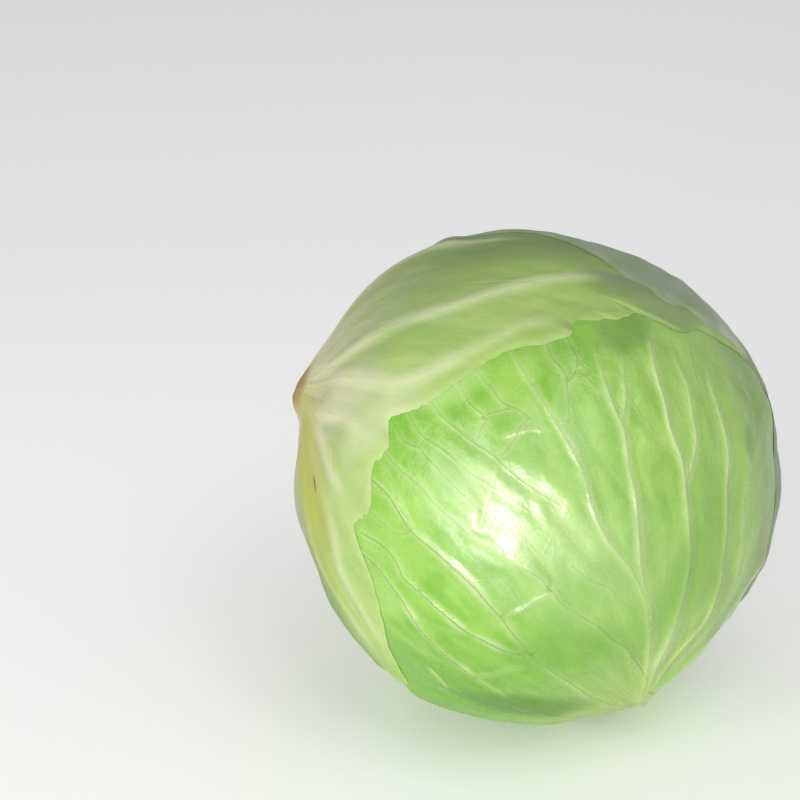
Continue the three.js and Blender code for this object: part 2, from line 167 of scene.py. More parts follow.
# The leaves, innermost first. centre: (degrees from the stalk, azimuth). The outline gives the reach in
# mm from that centre towards each bearing, where 0 is away from the stalk.
LEAVES = [
    {
        **PLAIN_LEAF, "piece": "far_leaf", "node": "wrapper_leaf_5", "slot": "inner_leaf",
        "centre": (90, 95),
        "outline": [(-180, 134), (-120, 128), (-60, 124), (0, 118), (60, 126), (120, 130)],
    },
    {
        **PLAIN_LEAF, "piece": "under_leaf", "node": "wrapper_leaf_4", "slot": "inner_leaf",
        "centre": (95, 276),
        "outline": [(-180, 142), (-120, 126), (-60, 120), (0, 126), (60, 122), (120, 128)],
    },
    {
        **PLAIN_LEAF, "piece": "front_leaf", "node": "wrapper_leaf_3", "slot": "bright_leaf",
        "centre": (92, 120), "heel": (30, -34), "rings": 160, "lift": 0.2, "ragged": 0.7, "pucker": 0.8,
        "outline": [
            (-175, 128), (-165, 112), (-152, 98), (-140, 90), (-124, 104), (-101, 124), (-80, 140),
            (-59, 152), (-38, 158), (-15, 156), (0, 147), (19, 148), (34, 134), (47, 100), (55, 80),
            (59, 70), (62, 62), (71, 57.5), (78, 52), (82, 46.5), (85, 39.5), (89, 35), (95, 33), (102, 30),
            (110, 26), (120, 26), (128, 32), (135, 44), (141, 50), (147, 84), (153, 110), (163, 122),
        ],
        "rib": (0.9, 1.6),
        "rib_sizes": (1, 0.75, 0.9, 0.9, 0.5, 0.4, 0.5, 0.7),
        "ribs": [
            [
                (30, -34), (21, -22), (17, -14), (13, 1), (11, 14), (9, 30), (7, 45), (3, 58), (0, 69),
                (-2, 79), (-7, 89), (-9, 100), (-11, 112), (-9, 127), (-7, 138),
            ],
            [
                (30, -34), (18, -19), (14, -10), (5, 8), (-4, 25), (-9, 32), (-18, 41), (-28, 48), (-36, 57),
                (-42, 68), (-51, 78), (-60, 87), (-71, 97), (-78, 105), (-85, 113),
            ],
            [
                (5, 8), (-2, 24), (-12, 39), (-17, 52), (-21, 65), (-25, 74), (-28, 86), (-33, 95),
                (-37, 106), (-40, 120),
            ],
            [
                (30, -34), (22, -20), (20, -7), (23, 8), (28, 20), (27, 35), (25, 43), (23, 58), (22, 69),
                (24, 82), (21, 99), (20, 106), (24, 114), (30, 122),
            ],
            [(21, -16), (25, -4), (31, 8), (38, 19), (41, 29), (42, 43), (44, 55), (48, 66)],
            [(38, 19), (38, 32), (36, 46), (34, 60), (37, 72), (44, 81), (52, 90)],
            [(-29, 88), (-27, 97), (-27, 105), (-26, 113), (-26, 125)],
            [(0, 72), (4, 80), (6, 88), (5, 96), (5, 106), (3, 115), (4, 128)],
        ],
        "folds": [
            [
                (14, -10), (8, -3), (-6, 9), (-13, 12), (-19, 16), (-28, 19), (-35, 21), (-42, 25),
                (-47, 28), (-54, 29), (-65, 31), (-76, 31), (-80, 32),
            ],
            [
                (12, -28), (4, -23), (-4, -20), (-12, -15), (-22, -10), (-31, -6), (-37, -3), (-47, 3),
                (-53, 7), (-59, 10), (-65, 13), (-71, 15), (-81, 17), (-94, 18), (-99, 20), (-104, 22),
                (-110, 23), (-118, 22),
            ],
            [
                (-37, -3), (-44, -6), (-52, -6), (-61, -6), (-67, -5), (-78, -3), (-88, -2), (-92, 1),
                (-97, 3), (-102, 2), (-110, -2),
            ],
            [
                (4, -38), (-7, -36), (-21, -35), (-28, -34), (-34, -31), (-41, -29), (-53, -25),
                (-65, -22), (-71, -20), (-80, -15), (-85, -12), (-91, -10), (-98, -8), (-106, -11),
            ],
        ],
        "veins": [
            [(-80, 32), (-87, 33), (-92, 34), (-98, 36), (-108, 36), (-118, 37)],
            [(-61, 37), (-66, 39), (-77, 42), (-89, 45), (-100, 48), (-104, 49), (-110, 47), (-119, 50)],
            [(-59, 49), (-70, 51), (-83, 52), (-94, 54), (-105, 54), (-114, 58)],
            [(-49, 55), (-60, 57), (-71, 60), (-76, 62), (-85, 63), (-97, 65), (-101, 66), (-110, 70)],
            [(-83, 66), (-83, 69), (-82, 72), (-83, 74), (-90, 76), (-94, 79), (-101, 85)],
            [(-83, 74), (-80, 77), (-74, 81)],
            [(-65, 81), (-71, 82), (-76, 82), (-79, 83), (-83, 86), (-86, 87), (-95, 93)],
            [(-65, 81), (-68, 77), (-70, 70), (-72, 65), (-74, 62)],
            [(-50, 85), (-51, 91), (-52, 98), (-53, 101), (-56, 104), (-59, 106), (-63, 116)],
            [(-52, 98), (-49, 102), (-47, 111)],
            [(-48, 109), (-50, 112), (-53, 120)],
            [(-14, 27), (-18, 29), (-23, 32), (-30, 33), (-38, 36)],
            [(-94, 18), (-96, 14), (-100, 11), (-104, 11), (-111, 10), (-118, 8)],
            [(-60, 22), (-55, 20), (-51, 17), (-46, 14)],
            [(-15, 4), (-20, 4), (-24, 4)],
            [(-47, -27), (-43, -21), (-40, -16), (-37, -12)],
            [(12, 99), (12, 106), (13, 112), (15, 121)],
        ],
        "creases": [
            [(-74, 62), (-73, 55), (-73, 49), (-73, 42), (-72, 34)],
            [(-41, 28), (-42, 23), (-45, 19), (-47, 14), (-50, 10), (-51, 6)],
            [(-76, 68), (-71, 72.5), (-65, 76.5), (-60, 78), (-56, 78)],
            [(-63, -37), (-55, -40), (-47, -46)],
        ],
        "peaks": [
            (-76, 16, 7), (-66, 13, 7), (-49, -6, 5), (-65, -5, 4), (-79, -16, 4), (-52, -25, 3),
            (-50, 76, 6), (-35, 57, 6), (-21, 64, 6), (-29, 84, 6), (0.5, 67, 8), (22, 65, 10), (-17, 48, 5),
        ],
    },
    {
        **PLAIN_LEAF, "piece": "left_leaf", "node": "wrapper_leaf_2", "slot": "bloomed_leaf",
        "centre": (105, 0), "heel": (0, -34), "rings": 160, "lift": 0.08, "ragged": 0.45, "pucker": 0.4,
        "outline": [
            (-180, 152), (-150, 140), (-120, 124), (-95, 114), (-75, 103), (-52, 96), (-35, 110), (-20, 166),
            (-11.7, 168), (-10, 163), (-7.4, 156), (-5, 149), (-3.4, 143.7), (-1.7, 139.4), (1.1, 136),
            (3.2, 132), (3.8, 128), (4.2, 123), (4.5, 119), (4.9, 114.6), (8.1, 111.2), (10, 108.9),
            (11, 105.6), (13.3, 102), (15.6, 98), (20.7, 95.6), (24, 91), (26.3, 88.3), (30.6, 81),
            (34, 78), (39.4, 73), (43.3, 71), (49.2, 69.4), (56.2, 66.3), (66.8, 60), (72.2, 57.8),
            (75, 61), (77, 64), (81.3, 65.7), (86.2, 66.2), (89.2, 69.4), (93, 75.4), (95.7, 78.2),
            (102, 78.2), (104.6, 80.2), (105.6, 86), (106.2, 92), (107, 98), (110.4, 108.3),
            (114.7, 116.7), (118.4, 123), (122.1, 133), (125, 142), (132, 140), (142, 139), (155, 144),
        ],
        "rib": (0.75, 3.0),
        "rib_sizes": (1, 1, 1, 1, 0.8, 0.8, 1, 1, 1, 0.5),
        "ribs": [
            [(0, -34), (12, -8), (17, 21), (15, 54), (-1, 90), (-12, 112)],
            [(2, -34), (28, 4), (43, 26), (42, 49), (31, 73), (24, 92)],
            [(2, -34), (26, -20), (45, 0), (64, 5)],
            [(2, -36), (34, -20), (66, -16), (76, -15)],
            [(2, -38), (32, -35), (52, -48), (66, -59), (86, -62), (98, -69), (108, -79)],
            [(20, -24), (50, -28), (69, -31), (82, -43), (95, -49), (107, -59), (114, -71)],
            [(-2, -34), (-18, 4), (-26, 40), (-34, 74)],
            [(-2, -36), (-34, -16), (-58, 12), (-72, 36)],
            [(-4, -40), (-40, -36), (-76, -22), (-98, -8)],
            [(30, -29), (54, -39), (74, -50), (91, -55), (103, -64)],
        ],
    },
    {
        **PLAIN_LEAF, "piece": "outer_leaf", "node": "wrapper_leaf_1", "slot": "grey_leaf",
        "centre": (100, 250), "rings": 120, "lift": 0.02, "ragged": 0.4, "rib": (1.0, 2.8),
        "outline": [
            (-180, 148), (-150, 133), (-122, 129), (-101, 128), (-88, 133), (-80, 136), (-74, 137),
            (-70, 133), (-65, 127), (-59, 120), (-50, 111), (-43, 104), (-39, 101), (-34, 98), (-29, 98),
            (-24, 100), (-20, 104), (-18.2, 106), (-16.1, 108.5), (-13.9, 112), (-12, 113),
            (-10.1, 112.8), (-8.2, 114.1), (-5.9, 117.4), (-3.5, 120.4), (-0.9, 121.8), (1.7, 122),
            (4.5, 121.2), (8.5, 120), (13.3, 117), (19.1, 112), (28, 105), (45, 112), (60, 124),
            (90, 134), (120, 133), (150, 134),
        ],
    },
]

# ---- the camera ----
PICTURE = 800  # the picture's breadth and height in pixels
LENS = 85
SENSOR = 36
HEAD_PIXEL = (533.8, 475.7)  # where the head's centre falls
HEAD_HALF_BREADTH = 243.2  # half the head's breadth in pixels
CAMERA_RISE = 25  # degrees above the horizon

head_centre = Vector((0, 0, REST_HEIGHT * MM))
pixels_per_slope = LENS / SENSOR * PICTURE
camera_distance = LEAF_RADIUS * MM / math.sin(math.atan(HEAD_HALF_BREADTH / pixels_per_slope))


def make_camera():
    rise = math.radians(CAMERA_RISE)
    right = Vector((1, 0, 0))
    up = Vector((0, math.sin(rise), math.cos(rise)))
    toward = Vector((0, -math.cos(rise), math.sin(rise)))
    place = head_centre + toward * camera_distance
    slope_right = (HEAD_PIXEL[0] - PICTURE / 2) / pixels_per_slope
    slope_down = (HEAD_PIXEL[1] - PICTURE / 2) / pixels_per_slope
    aim = head_centre + (up * slope_down - right * slope_right) * camera_distance
    turn = (-toward).rotation_difference(aim - place).to_matrix()
    camera = bpy.data.objects.new("camera", bpy.data.cameras.new("camera"))
    camera.data.lens = LENS
    camera.data.sensor_width = SENSOR
    camera.data.clip_start = 0.01
    axes = Matrix((right, up, toward)).transposed()
    camera.matrix_world = Matrix.Translation(place) @ (turn @ axes).to_4x4()
    bpy.context.scene.collection.objects.link(camera)
    bpy.context.scene.camera = camera


make_camera()


# ---- nodes from expressions ----
class Wire:
    """A socket that gives a value. Sums on wires add their Math nodes to the tree."""

    def __init__(self, tree, socket):
        self.tree = tree
        self.socket = socket

    def maths(self, operation, *terms):
        return node(self.tree, "ShaderNodeMath", {"operation": operation}, dict(enumerate(terms)))

    def __add__(self, other):
        return self.maths("ADD", self, other)

    def __sub__(self, other):
        return self.maths("SUBTRACT", self, other)

    def __rsub__(self, other):
        return self.maths("SUBTRACT", other, self)

    def __mul__(self, other):
        return self.maths("MULTIPLY", self, other)

    def __truediv__(self, other):
        return self.maths("DIVIDE", self, other)

    def __pow__(self, other):
        return self.maths("POWER", self, other)

    def __neg__(self):
        return self * -1

    __radd__ = __add__
    __rmul__ = __mul__

    def size(self):
        return self.maths("ABSOLUTE", self)

    def step(self, low, high):
        """0 below low, 1 above high, and a smooth rise between them; low may be the larger."""
        settings = {"interpolation_type": "SMOOTHSTEP", "clamp": True}
        if low < high:
            return node(self.tree, "ShaderNodeMapRange", settings, {0: self, 1: low, 2: high, 3: 0, 4: 1})
        return node(self.tree, "ShaderNodeMapRange", settings, {0: self, 1: high, 2: low, 3: 1, 4: 0})

    def bell(self, breadth):
        return self.maths("EXPONENT", -((self / breadth) ** 2))


def node(tree, kind, settings=None, inputs=None, output=0):
    """Adds one node with its settings, then its sockets' values or links, and gives one output."""
    made = tree.nodes.new(kind)
    for name, value in (settings or {}).items():
        setattr(made, name, value)
    for name, value in (inputs or {}).items():
        if isinstance(value, Wire):
            tree.links.new(value.socket, made.inputs[name])
        else:
            made.inputs[name].default_value = value
    return Wire(tree, made.outputs[output])


def outputs(wire, *names):
    """The named outputs of the node that gives a wire."""
    return [Wire(wire.tree, wire.socket.node.outputs[name]) for name in names]


# ---- a leaf's own plane, wrapped round the head ----
def smooth_step(x):
    t = np.clip(x, 0, 1)
    return t * t * (3 - 2 * t)


def bell(distance, breadth):
    return np.exp(-((distance / breadth) ** 2))


def direction(from_stalk, azimuth):
    polar, turn = math.radians(from_stalk), math.radians(azimuth)
    around = AZIMUTH_X * math.cos(turn) + AZIMUTH_Y * math.sin(turn)
    return STALK_AXIS * math.cos(polar) + around * math.sin(polar)


def angle_to(dirs, axis):
    return np.arccos(np.clip(dirs @ axis, -1, 1))


def course(t, a, b, slope_a, slope_b):
    """A smooth way from a to b, with the slopes given for both ends, as t runs from 0 to 1."""
    return (
        a * (1 + 2 * t) * (1 - t) ** 2 + slope_a * t * (1 - t) ** 2
        + b * t * t * (3 - 2 * t) + slope_b * t * t * (t - 1)
    )


def smooth_line(points):
    """Even steps along a smooth curve through points of a leaf's plane."""
    points = np.array(points, float)
    before = np.vstack([2 * points[0] - points[1], points[:-1]])
    after = np.vstack([points[1:], 2 * points[-1] - points[-2]])
    slopes = (after - before) / 2
    fine = [points[:1]]
    for a, b, slope_a, slope_b in zip(points, points[1:], slopes, slopes[1:]):
        count = max(2, int(np.linalg.norm(b - a) / VEIN_STEP))
        t = (np.arange(count)[:, None] + 1) / count
        fine.append(course(t, a, b, slope_a, slope_b))
    return np.vstack(fine)


class Leaf:
    """One wrapper leaf: where it lies on the head, its outline and its lines."""

    def __init__(self, facts):
        self.facts = facts
        from_stalk, azimuth = facts["centre"]
        self.polar = math.radians(from_stalk)
        self.phase = azimuth
        self.middle = direction(from_stalk, azimuth)
        self.along = direction(from_stalk + 90, azimuth)
        self.across = direction(90, azimuth + 90)
        self.midrib = smooth_line([(0, -self.polar * LEAF_RADIUS + MIDRIB_START), *facts["ribs"][0]])
        self.ribs = [smooth_line(rib) for rib in facts["ribs"]]
        self.folds = [smooth_line(fold) for fold in facts["folds"]]
        self.outline = np.array(sorted(facts["outline"]), float)

    def on_head(self, bearing, reach):
        """Directions of places of the leaf's plane."""
        angle = reach / LEAF_RADIUS
        return (
            np.multiply.outer(np.cos(angle), self.middle)
            + np.multiply.outer(np.sin(angle) * np.cos(bearing), self.along)
            + np.multiply.outer(np.sin(angle) * np.sin(bearing), self.across)
        )

    def from_plane(self, points):
        return self.on_head(np.arctan2(points[:, 0], points[:, 1]), np.hypot(points[:, 0], points[:, 1]))

    def in_plane(self, dirs):
        reach = LEAF_RADIUS * angle_to(dirs, self.middle)
        bearing = np.arctan2(dirs @ self.across, dirs @ self.along)
        return reach, bearing

    def edge(self, bearing):
        """The reach of the outline towards a bearing: a smooth waved curve, cut short at the stalk."""
        angles, reaches = self.outline.T
        angles = np.concatenate([angles[-2:] - 360, angles, angles[:3] + 360])
        reaches = np.concatenate([reaches[-2:], reaches, reaches[:3]])
        slopes = np.zeros(len(reaches))
        slopes[1:-1] = (reaches[2:] - reaches[:-2]) / (angles[2:] - angles[:-2])
        degrees = (np.degrees(bearing) - self.outline[0, 0]) % 360 + self.outline[0, 0]
        k = np.clip(np.searchsorted(angles, degrees, side="right") - 1, 1, len(angles) - 3)
        span = angles[k + 1] - angles[k]
        t = (degrees - angles[k]) / span
        reach = course(t, reaches[k], reaches[k + 1], slopes[k] * span, slopes[k + 1] * span)
        # The scallops crowd and spread a little, so that no two are alike.
        waves = np.sin(MARGIN_WAVES * bearing + self.phase)
        scallops = np.abs(np.sin(SCALLOPS * bearing + 1.4 * np.sin(5 * bearing) + self.phase)) - 0.6
        share = self.facts["ragged"] * np.minimum(1, reach / RAGGED_REACH)
        reach = reach + share * (MARGIN_WAVE * waves + SCALLOP * scallops)
        return np.minimum(reach, self.stalk_reach(bearing))

    def nicks(self, bearing):
        """How far the fine uneven teeth of the margin cut in."""
        teeth = np.abs(np.sin(TEETH * bearing + 2.2 * np.sin(7 * bearing + self.phase)))
        uneven = 0.35 + 0.65 * np.sin(11 * bearing + 1.7 * np.sin(3 * bearing)) ** 2
        clear = np.isinf(self.stalk_reach(bearing))
        return NICK * (1 - teeth) * uneven * clear

    def stalk_reach(self, bearing):
        """How far the leaf may reach before it meets the bare place round the stalk."""
        c, s = math.cos(self.polar), -math.sin(self.polar) * np.cos(bearing)
        ratio = math.cos(math.radians(STALK_CLEAR)) / np.hypot(c, s)
        near = (s > 0) & (ratio < 1)
        reach = LEAF_RADIUS * (np.arctan2(s, c) - np.arccos(np.minimum(ratio, 1)))
        return np.where(near, reach, np.inf)

    def inside_by(self, dirs):
        """How far inside the outline directions lie, in mm; negative past the margin."""
        step = 0.01
        reach, bearing = self.in_plane(dirs)
        edge = self.edge(bearing)
        slope = (self.edge(bearing + step) - self.edge(bearing - step)) / (2 * step)
        return (edge - reach) / np.hypot(1, slope / np.maximum(edge, 1))

    def cover(self, dirs, fall):
        """How much of the leaf's thickness lies under what is draped over it: 1 on it, 0 well away."""
        return smooth_step((fall + self.inside_by(dirs)) / (fall + TUCK))


leaves = [Leaf(facts) for facts in LEAVES]

# ---- heights over the head's centre ----
rng = np.random.default_rng(SEED)
lump_waves = rng.normal(size=(LUMP_WAVES, 3))
lump_waves *= (rng.uniform(*LUMP_PACE, LUMP_WAVES) / np.linalg.norm(lump_waves, axis=1))[:, None]
lump_starts = rng.uniform(0, 2 * math.pi, LUMP_WAVES)


def heart_radius(dirs):
    radius = HEART_RADIUS + LUMP_HEIGHT * np.sin(dirs @ lump_waves.T + lump_starts).mean(1)
    for from_stalk, azimuth, height, breadth in SWELLS:
        radius = radius + height * bell(angle_to(dirs, direction(from_stalk, azimuth)), math.radians(breadth))
    return radius


def bareness(index, dirs):
    """1 where a leaf lies open and 0 where others cover it."""
    bare = np.ones(len(dirs))
    for leaf in leaves[index + 1:]:
        bare *= 1 - smooth_step(1 + (RIB_CLEAR + leaf.inside_by(dirs)) / MARGIN_FALL)
    return bare


def beyond_cover(index, dirs):
    """How far outside the leaves that cover it a place lies, in mm."""
    beyond = np.full(len(dirs), float(FAR_BEYOND))
    for leaf in leaves[index + 1:]:
        beyond = np.minimum(beyond, -leaf.inside_by(dirs))
    return np.maximum(beyond, 0)


def inner_radius(index, dirs):
    leaf = leaves[index]
    wave = 0.5 + 0.5 * np.sin(LIFTS * leaf.in_plane(dirs)[1])
    near_margin = bell(np.maximum(leaf.inside_by(dirs), 0), LIFT_DEPTH) * bareness(index, dirs)
    radius = heart_radius(dirs) + LEAF_GAP
    for under in leaves[:index]:
        fall = MARGIN_FALL + (CLOSE_FALL - MARGIN_FALL) * near_margin
        radius = radius + (LEAF_THICKNESS + LEAF_GAP) * under.cover(dirs, fall)
    return radius + (leaf.facts["lift"] * wave + RIM_GAP - LEAF_GAP) * near_margin


def outer_radius(index, dirs):
    thin = bell(np.maximum(leaves[index].inside_by(dirs), 0), RIM_BREADTH)
    return inner_radius(index, dirs) + LEAF_THICKNESS + (RIM_THICKNESS - LEAF_THICKNESS) * thin


def pressed_in(dirs):
    """The outside of the leaf that carries the head is pressed flat, and all else there moves with it."""
    down = dirs @ DOWN
    near = down > math.cos(math.radians(SPOT_SPREAD))
    depth = np.zeros(len(dirs))
    depth[near] = np.maximum(0, outer_radius(RESTING_LEAF, dirs[near]) - REST_HEIGHT / down[near])
    return depth


def place(dirs, radius):
    return (dirs * (radius - pressed_in(dirs))[:, None] - DOWN * REST_HEIGHT) * MM


# ---- leaf shells ----
def ring_start(ring):
    return 0 if ring == 0 else 1 + 3 * ring * (ring - 1)


def leaf_net(leaf, rings):
    """Directions of a hexagonal net drawn out to the leaf's outline: ring i has 6 i points."""
    steps = np.linspace(0, 2 * math.pi, MARGIN_STEPS + 1)
    margin = leaf.on_head(steps, leaf.edge(steps))
    passed = np.concatenate([[0], np.cumsum(np.linalg.norm(np.diff(margin, axis=0), axis=1))])
    net = [leaf.middle[None]]
    for ring in range(1, rings + 1):
        shares = np.arange(6 * ring) / (6 * ring)
        bearing = np.interp(shares * passed[-1], passed, steps)
        reach = leaf.edge(bearing) - leaf.nicks(bearing) * (ring / rings) ** NICK_POWER
        net.append(leaf.on_head(bearing, reach * ring / rings))
    return np.vstack(net)


def net_triangles(rings):
    triangles = []
    for ring in range(1, rings + 1):
        around, within = 6 * ring, max(6 * (ring - 1), 1)
        for side in range(6):
            k = np.arange(ring)
            outer = ring_start(ring) + side * ring + k
            after = ring_start(ring) + (side * ring + k + 1) % around
            inner = ring_start(ring - 1) + (side * (ring - 1) + k) % within
            inner_after = ring_start(ring - 1) + (side * (ring - 1) + k + 1) % within
            triangles.append(np.stack([inner, outer, after], 1))
            triangles.append(np.stack([inner, after, inner_after], 1)[:-1])
    return np.vstack(triangles)


def rim_triangles(rings, count):
    """Closes the margin between the outer net and an inner net with half as many rings."""
    outer_rim, inner_rim = ring_start(rings), count + ring_start(rings // 2)
    around = 6 * rings
    k = np.arange(around // 2)
    a = outer_rim + 2 * k
    b = outer_rim + 2 * k + 1
    c = outer_rim + (2 * k + 2) % around
    d = inner_rim + k
    e = inner_rim + (k + 1) % (around // 2)
    return np.vstack([np.stack([a, b, d], 1), np.stack([b, e, d], 1), np.stack([b, c, e], 1)])


def mesh_object(name, points, edges, faces):
    mesh = bpy.data.meshes.new(name)
    mesh.from_pydata(points.tolist(), edges, faces)
    made = bpy.data.objects.new(name, mesh)
    bpy.context.scene.collection.objects.link(made)
    return made


def give(made, name, values):
    """Stores a number or a vector on every point of a mesh."""
    values = np.asarray(values, np.float32)
    kind, key = ("FLOAT", "value") if values.ndim == 1 else ("FLOAT_VECTOR", "vector")
    made.data.attributes.new(name, kind, "POINT").data.foreach_set(key, values.ravel())


def shell(index):
    """A closed leaf, with what its ribs and its finish are worked out from on its points."""
    leaf, facts = leaves[index], LEAVES[index]
    rings = facts["rings"]
    outer, inner = leaf_net(leaf, rings), leaf_net(leaf, rings // 2)
    points = np.vstack([place(outer, outer_radius(index, outer)), place(inner, inner_radius(index, inner))])
    top = net_triangles(rings)[:, [0, 2, 1]]
    under = net_triangles(rings // 2) + len(outer)
    faces = np.vstack([top, under, rim_triangles(rings, len(outer))])
    made = mesh_object(facts["piece"], points, [], faces.tolist())
    dirs = np.vstack([outer, inner])
    outside = np.concatenate([np.ones(len(outer)), np.zeros(len(inner))])
    reach, bearing = leaf.in_plane(dirs)
    bare = bareness(index, dirs)
    off_spot = 1 - bell(angle_to(dirs, DOWN), math.radians(SPOT_SPREAD))
    margin = leaf.inside_by(dirs)
    plane = np.stack([reach * np.sin(bearing), reach * np.cos(bearing), 0 * reach], 1)
    from_heel = plane - np.array([*facts["heel"], 0])
    heel = np.linalg.norm(from_heel, axis=1)
    fan = from_heel / np.maximum(heel, 1e-6)[:, None] * FAN_TURNS * smooth_step(heel / HEEL_CALM)[:, None]
    fan[:, 2] = heel / FAN_LENGTH
    give(made, "leaf_plane", plane)
    give(made, "outward", dirs * (outside * bare * off_spot * smooth_step(margin / MARGIN_CALM))[:, None])
    give(made, "margin", np.maximum(margin, 0))
    give(made, "beyond", beyond_cover(index, dirs))
    give(made, "heel", heel)
    give(made, "fan", fan)
    return made


# ---- lines on a leaf ----
def turned(vector, degrees):
    c, s = math.cos(math.radians(degrees)), math.sin(math.radians(degrees))
    return np.array([c * vector[0] - s * vector[1], s * vector[0] + c * vector[1]])


def branches(parents, taken, draw):
    """Fine veins that leave their parents to both sides, bend towards the tip and end on the next line."""
    grown = []
    for parent in parents:
        side = 1
        at = draw.uniform(0.5, 1.5) * VEIN_SPACING / VEIN_STEP
        while at < len(parent) - 2:
            start = parent[int(at)]
            ahead = parent[int(at) + 1] - start
            heading = turned(ahead / np.linalg.norm(ahead), side * draw.uniform(*VEIN_LEAVE))
            path = [start]
            for step in range(int(VEIN_LONGEST / VEIN_STEP)):
                heading = turned(heading, -side * VEIN_BEND + draw.normal(0, VEIN_WANDER))
                path.append(path[-1] + VEIN_STEP * heading)
                gaps = np.linalg.norm(taken - path[-1], axis=1)
                if step > 2 and gaps.min() < VEIN_STEP:
                    path.append(taken[gaps.argmin()])
                    break
            if len(path) > VEIN_SHORTEST:
                grown.append(np.array(path))
                taken = np.vstack([taken, path])
            side = -side
            at += draw.uniform(0.6, 1.4) * VEIN_SPACING / VEIN_STEP
    return grown


def vein_lines(leaf, draw):
    """Every fine vein of a leaf, each with how strongly it shows."""
    drawn = [smooth_line(vein) for vein in leaf.facts["veins"]]
    taken = np.vstack(leaf.ribs + leaf.folds + drawn)
    grown = branches(leaf.ribs + leaf.folds, taken, draw)
    kinds = zip((leaf.folds, drawn, grown), VEIN_SHOW)
    return [(line, strength) for lines, strength in kinds for line in lines]


def line_object(index, name, lines):
    """Open lines on a leaf's outside. Each comes with its points' heights, breadths and strengths."""
    leaf = leaves[index]
    points, sides, edges, rows = [], [], [], []
    count = 0
    for line, height, breadth, strength in lines:
        dirs = leaf.from_plane(line)
        ahead = np.gradient(dirs, axis=0)
        side = np.cross(ahead, dirs)
        points.append(place(dirs, outer_radius(index, dirs)))
        sides.append(side / np.maximum(np.linalg.norm(side, axis=1), 1e-9)[:, None])
        edges += [(count + k, count + k + 1) for k in range(len(line) - 1)]
        rows.append(np.stack(np.broadcast_arrays(height, breadth, strength, np.zeros(len(line)))[:3], 1))
        count += len(line)
    made = mesh_object(name, np.vstack(points), edges, [])
    give(made, "side", np.vstack(sides))
    for key, values in zip(("tall", "broad", "strong"), np.vstack(rows).T):
        give(made, key, values)
    return made


def faded(line):
    """1 along a line and 0 at both its ends."""
    k = np.arange(len(line))
    return smooth_step(np.minimum(k, k[::-1]) * VEIN_STEP / LINE_FADE)


def rib_rows(leaf):
    """Every rib, fold and crease of a leaf, with its heights, breadths and strengths."""
    height, breadth = leaf.facts["rib"]
    ribs = np.vstack(leaf.ribs)

    def peak(line):
        peaks = leaf.facts["peaks"]
        near = [bell(np.linalg.norm(line - (x, y), axis=1), reach) for x, y, reach in peaks]
        return np.clip(np.sum(near, axis=0), 0, 1)

    for line, size in zip(leaf.ribs, leaf.facts["rib_sizes"]):
        share = np.linspace(0, 1, len(line))
        tip = smooth_step((len(line) - 1) * (1 - share) * VEIN_STEP / RIB_FADE)
        tall = size * height * (1 - RIB_TAPER * share) * (1 + PEAK_RISE * peak(line)) * tip
        strong = size * (1 - RIB_THINNING * share) * (1 + PEAK_SHOW * peak(line)) * tip
        yield line, tall, breadth * (1 + RIB_THINNING - RIB_THINNING * share), strong
    for fold in leaf.folds:
        fold = fold[np.linalg.norm(fold[:, None] - ribs, axis=2).min(1) > RIB_APART]
        strong = FOLD_SHOW[0] + FOLD_SHOW[1] * peak(fold)
        yield fold, FOLD_HEIGHT * faded(fold), FOLD_WIDTH, strong * faded(fold)
    for crease in leaf.facts["creases"]:
        crease = smooth_line(crease)
        yield crease, CREASE_HEIGHT * faded(crease), CREASE_WIDTH, CREASE_SHOW * faded(crease)


def midrib_row(leaf):
    taper = 1 - np.linspace(0, 1, len(leaf.midrib))
    height = MIDRIB_HEIGHT * taper**MIDRIB_FALL
    return leaf.midrib, height, MIDRIB_WIDTH * (0.25 + 0.75 * taper), taper


# ---- the tree that raises ribs and lets the leaf bulge between its veins ----
# What it keeps on the leaf's points for the finish.
KEPT_FACTS = ("rib", "rib_side", "rib_far", "midrib", "vein_side", "vein_far", "vein_strong")


